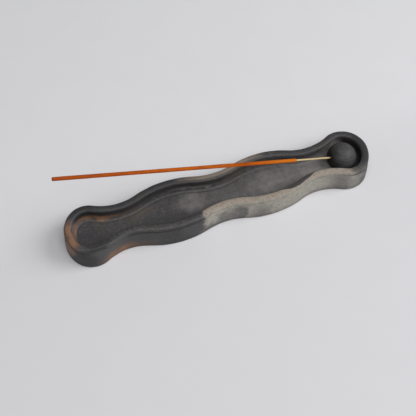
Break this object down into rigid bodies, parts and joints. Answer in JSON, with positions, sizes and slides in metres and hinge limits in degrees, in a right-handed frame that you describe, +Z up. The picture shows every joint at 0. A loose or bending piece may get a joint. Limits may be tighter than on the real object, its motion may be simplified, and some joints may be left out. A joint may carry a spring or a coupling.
{
  "type": "incense burner",
  "caption": "Long wavy-sided clay ash tray with a loose pierced ball in one end that holds an incense stick tilted over the tray.",
  "frame": {"origin": "centre of the tray's flat foot, on the surface that it rests on", "axes": "+X along the tray towards the lobe that holds the ball, +Z up"},
  "size_m": [0.24, 0.0436, 0.0965],
  "materials": {
    "pit_fired_clay": "unglazed, burnished and smoke-fired, satin",
    "smoked_clay": "unglazed, burnished and smoke-blackened, satin",
    "bamboo": "split bamboo, plain",
    "incense_paste": "dry pressed incense powder, matt"
  },
  "bodies": {
    "tray": {"tray": "pit_fired_clay"},
    "ball": {"ball": "smoked_clay"},
    "stick": {"bamboo_core": "bamboo", "incense_coating": "incense_paste"}
  },
  "joints": [
    {"name": "ball_tilt", "type": "hinge", "parent": "tray", "child": "ball", "pos_m": [0.0991, 0, 0.0156], "axis": [0, 1, 0], "range_deg": [-18, 65]},
    {"name": "stick_pull", "type": "slide", "parent": "ball", "child": "stick", "axis": [-0.9379, 0, 0.3469], "range_m": [0, 0.02]}
  ]
}
